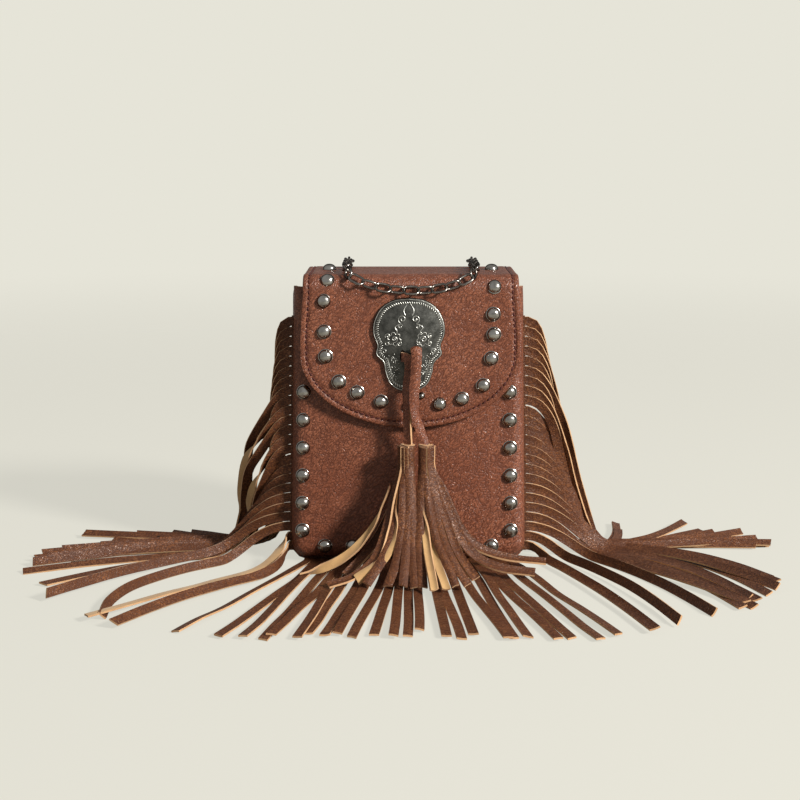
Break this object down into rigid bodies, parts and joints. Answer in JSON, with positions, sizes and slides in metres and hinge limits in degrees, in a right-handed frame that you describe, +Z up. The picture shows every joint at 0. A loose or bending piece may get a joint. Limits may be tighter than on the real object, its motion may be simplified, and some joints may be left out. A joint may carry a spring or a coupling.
{
  "type": "fringed leather shoulder bag",
  "caption": "Small boxy shoulder bag in creased brown leather with a studded flap, long side and bottom fringe, a cast concho, two lace-hung tassels and a chain.",
  "frame": {"origin": "middle of the flat underside of the gusset, on the surface that the bag stands on", "axes": "+Z up, -Y towards the front with the concho, +X to the right when facing the front"},
  "size_m": [0.4554, 0.2471, 0.1822],
  "materials": {
    "body_leather": "creased, satin",
    "fringe_leather": "smooth face, tan back",
    "lining_cloth": "plain woven",
    "dark_metal": "dark nickel, antiqued"
  },
  "bodies": {
    "bag": {"back_panel": "body_leather", "bottom_board": "lining_cloth", "chain_rear_left": "dark_metal", "chain_rear_right": "dark_metal", "chain_tab_left": "body_leather", "chain_tab_right": "body_leather", "fringe_bottom": "fringe_leather", "fringe_left": "fringe_leather", "fringe_right": "fringe_leather", "front_panel": "body_leather", "front_stud_bottom_1": "dark_metal", "front_stud_bottom_2": "dark_metal", "front_stud_bottom_3": "dark_metal", "front_stud_bottom_4": "dark_metal", "front_stud_bottom_5": "dark_metal", "front_stud_bottom_6": "dark_metal", "front_stud_bottom_7": "dark_metal", "front_stud_left_1": "dark_metal", "front_stud_left_2": "dark_metal", "front_stud_left_3": "dark_metal", "front_stud_left_4": "dark_metal", "front_stud_left_5": "dark_metal", "front_stud_left_6": "dark_metal", "front_stud_right_1": "dark_metal", "front_stud_right_2": "dark_metal", "front_stud_right_3": "dark_metal", "front_stud_right_4": "dark_metal", "front_stud_right_5": "dark_metal", "front_stud_right_6": "dark_metal", "gusset": "body_leather", "lining": "lining_cloth", "snap_socket": "dark_metal"},
    "flap": {"bead_rivet": "dark_metal", "chain_front": "dark_metal", "concho": "dark_metal", "flap": "body_leather", "flap_stud_1": "dark_metal", "flap_stud_10": "dark_metal", "flap_stud_11": "dark_metal", "flap_stud_12": "dark_metal", "flap_stud_13": "dark_metal", "flap_stud_14": "dark_metal", "flap_stud_15": "dark_metal", "flap_stud_2": "dark_metal", "flap_stud_3": "dark_metal", "flap_stud_4": "dark_metal", "flap_stud_5": "dark_metal", "flap_stud_6": "dark_metal", "flap_stud_7": "dark_metal", "flap_stud_8": "dark_metal", "flap_stud_9": "dark_metal", "lace": "body_leather", "snap_stud": "dark_metal", "tassel_left": "fringe_leather", "tassel_right": "fringe_leather", "top_stud_left": "dark_metal", "top_stud_right": "dark_metal"}
  },
  "joints": [
    {"name": "flap_hinge", "type": "hinge", "parent": "bag", "child": "flap", "pos_m": [0, 0.0345, 0.17927], "axis": [-1, 0, 0], "range_deg": [0, 120]}
  ]
}
